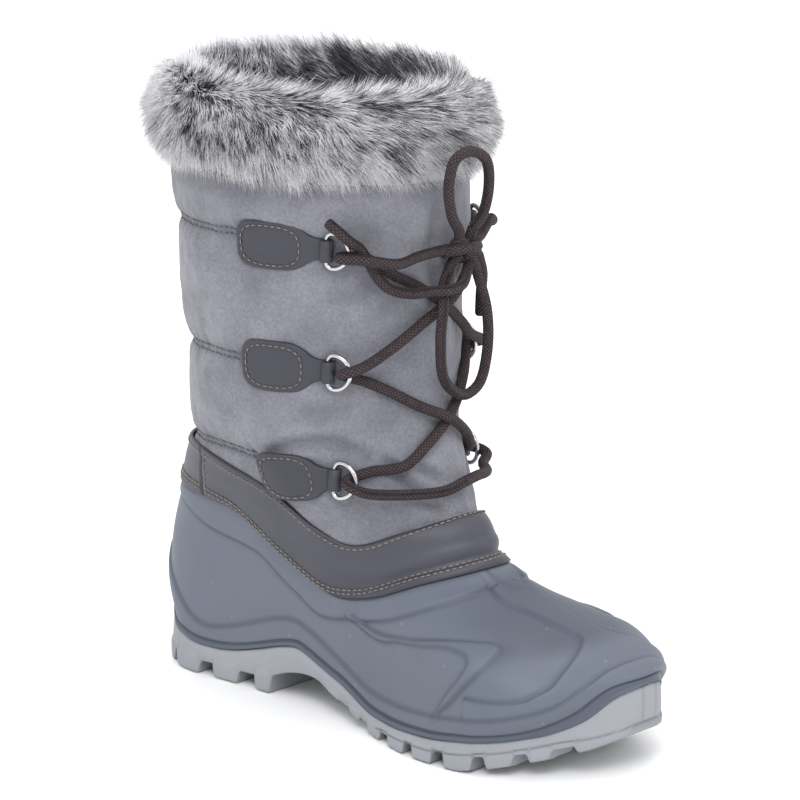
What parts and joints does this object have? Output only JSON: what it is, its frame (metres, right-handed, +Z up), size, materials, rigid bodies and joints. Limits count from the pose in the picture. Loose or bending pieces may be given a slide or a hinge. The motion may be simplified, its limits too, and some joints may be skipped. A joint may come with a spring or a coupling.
{
  "type": "snow boot",
  "caption": "Right winter boot with a moulded rubber foot, lugged sole, padded cloth shaft, leather band, D-ring lacing with a bow and a fur collar",
  "frame": {"origin": "centre of the boot's length and width (cord pieces left out), on the plane the boot stands on", "axes": "+X to the toe, +Y to the wearer's left (the inner side of this right boot), +Z up the shaft"},
  "size_m": [0.2852, 0.158, 0.2954],
  "materials": {
    "sole_rubber": "matte light grey moulded rubber",
    "shell_rubber": "satin blue-grey moulded rubber",
    "felt": "grey felt",
    "cloth": "brushed grey cloth over padding",
    "leather": "smooth dark grey leather",
    "fur": "mottled grey pile fur",
    "ring_wire": "polished plated wire",
    "lace": "round braided cord, dark brown"
  },
  "bodies": {
    "root": {"outsole": "sole_rubber", "insole": "felt", "shell": "shell_rubber", "shaft": "cloth", "band_front": "leather", "band_back": "leather", "collar_fur": "fur", "tab_outer_top": "leather", "ring_outer_top": "ring_wire", "tab_outer_middle": "leather", "ring_outer_middle": "ring_wire", "tab_outer_low": "leather", "ring_outer_low": "ring_wire", "tab_inner_top": "leather", "ring_inner_top": "ring_wire", "tab_inner_middle": "leather", "ring_inner_middle": "ring_wire", "tab_inner_low": "leather", "ring_inner_low": "ring_wire", "lace_crossings": "lace", "lace_knot": "lace", "lace_upper_loop": "lace", "lace_lower_loop": "lace", "lace_near_end": "lace", "lace_far_end": "lace"}
  },
  "joints": []
}
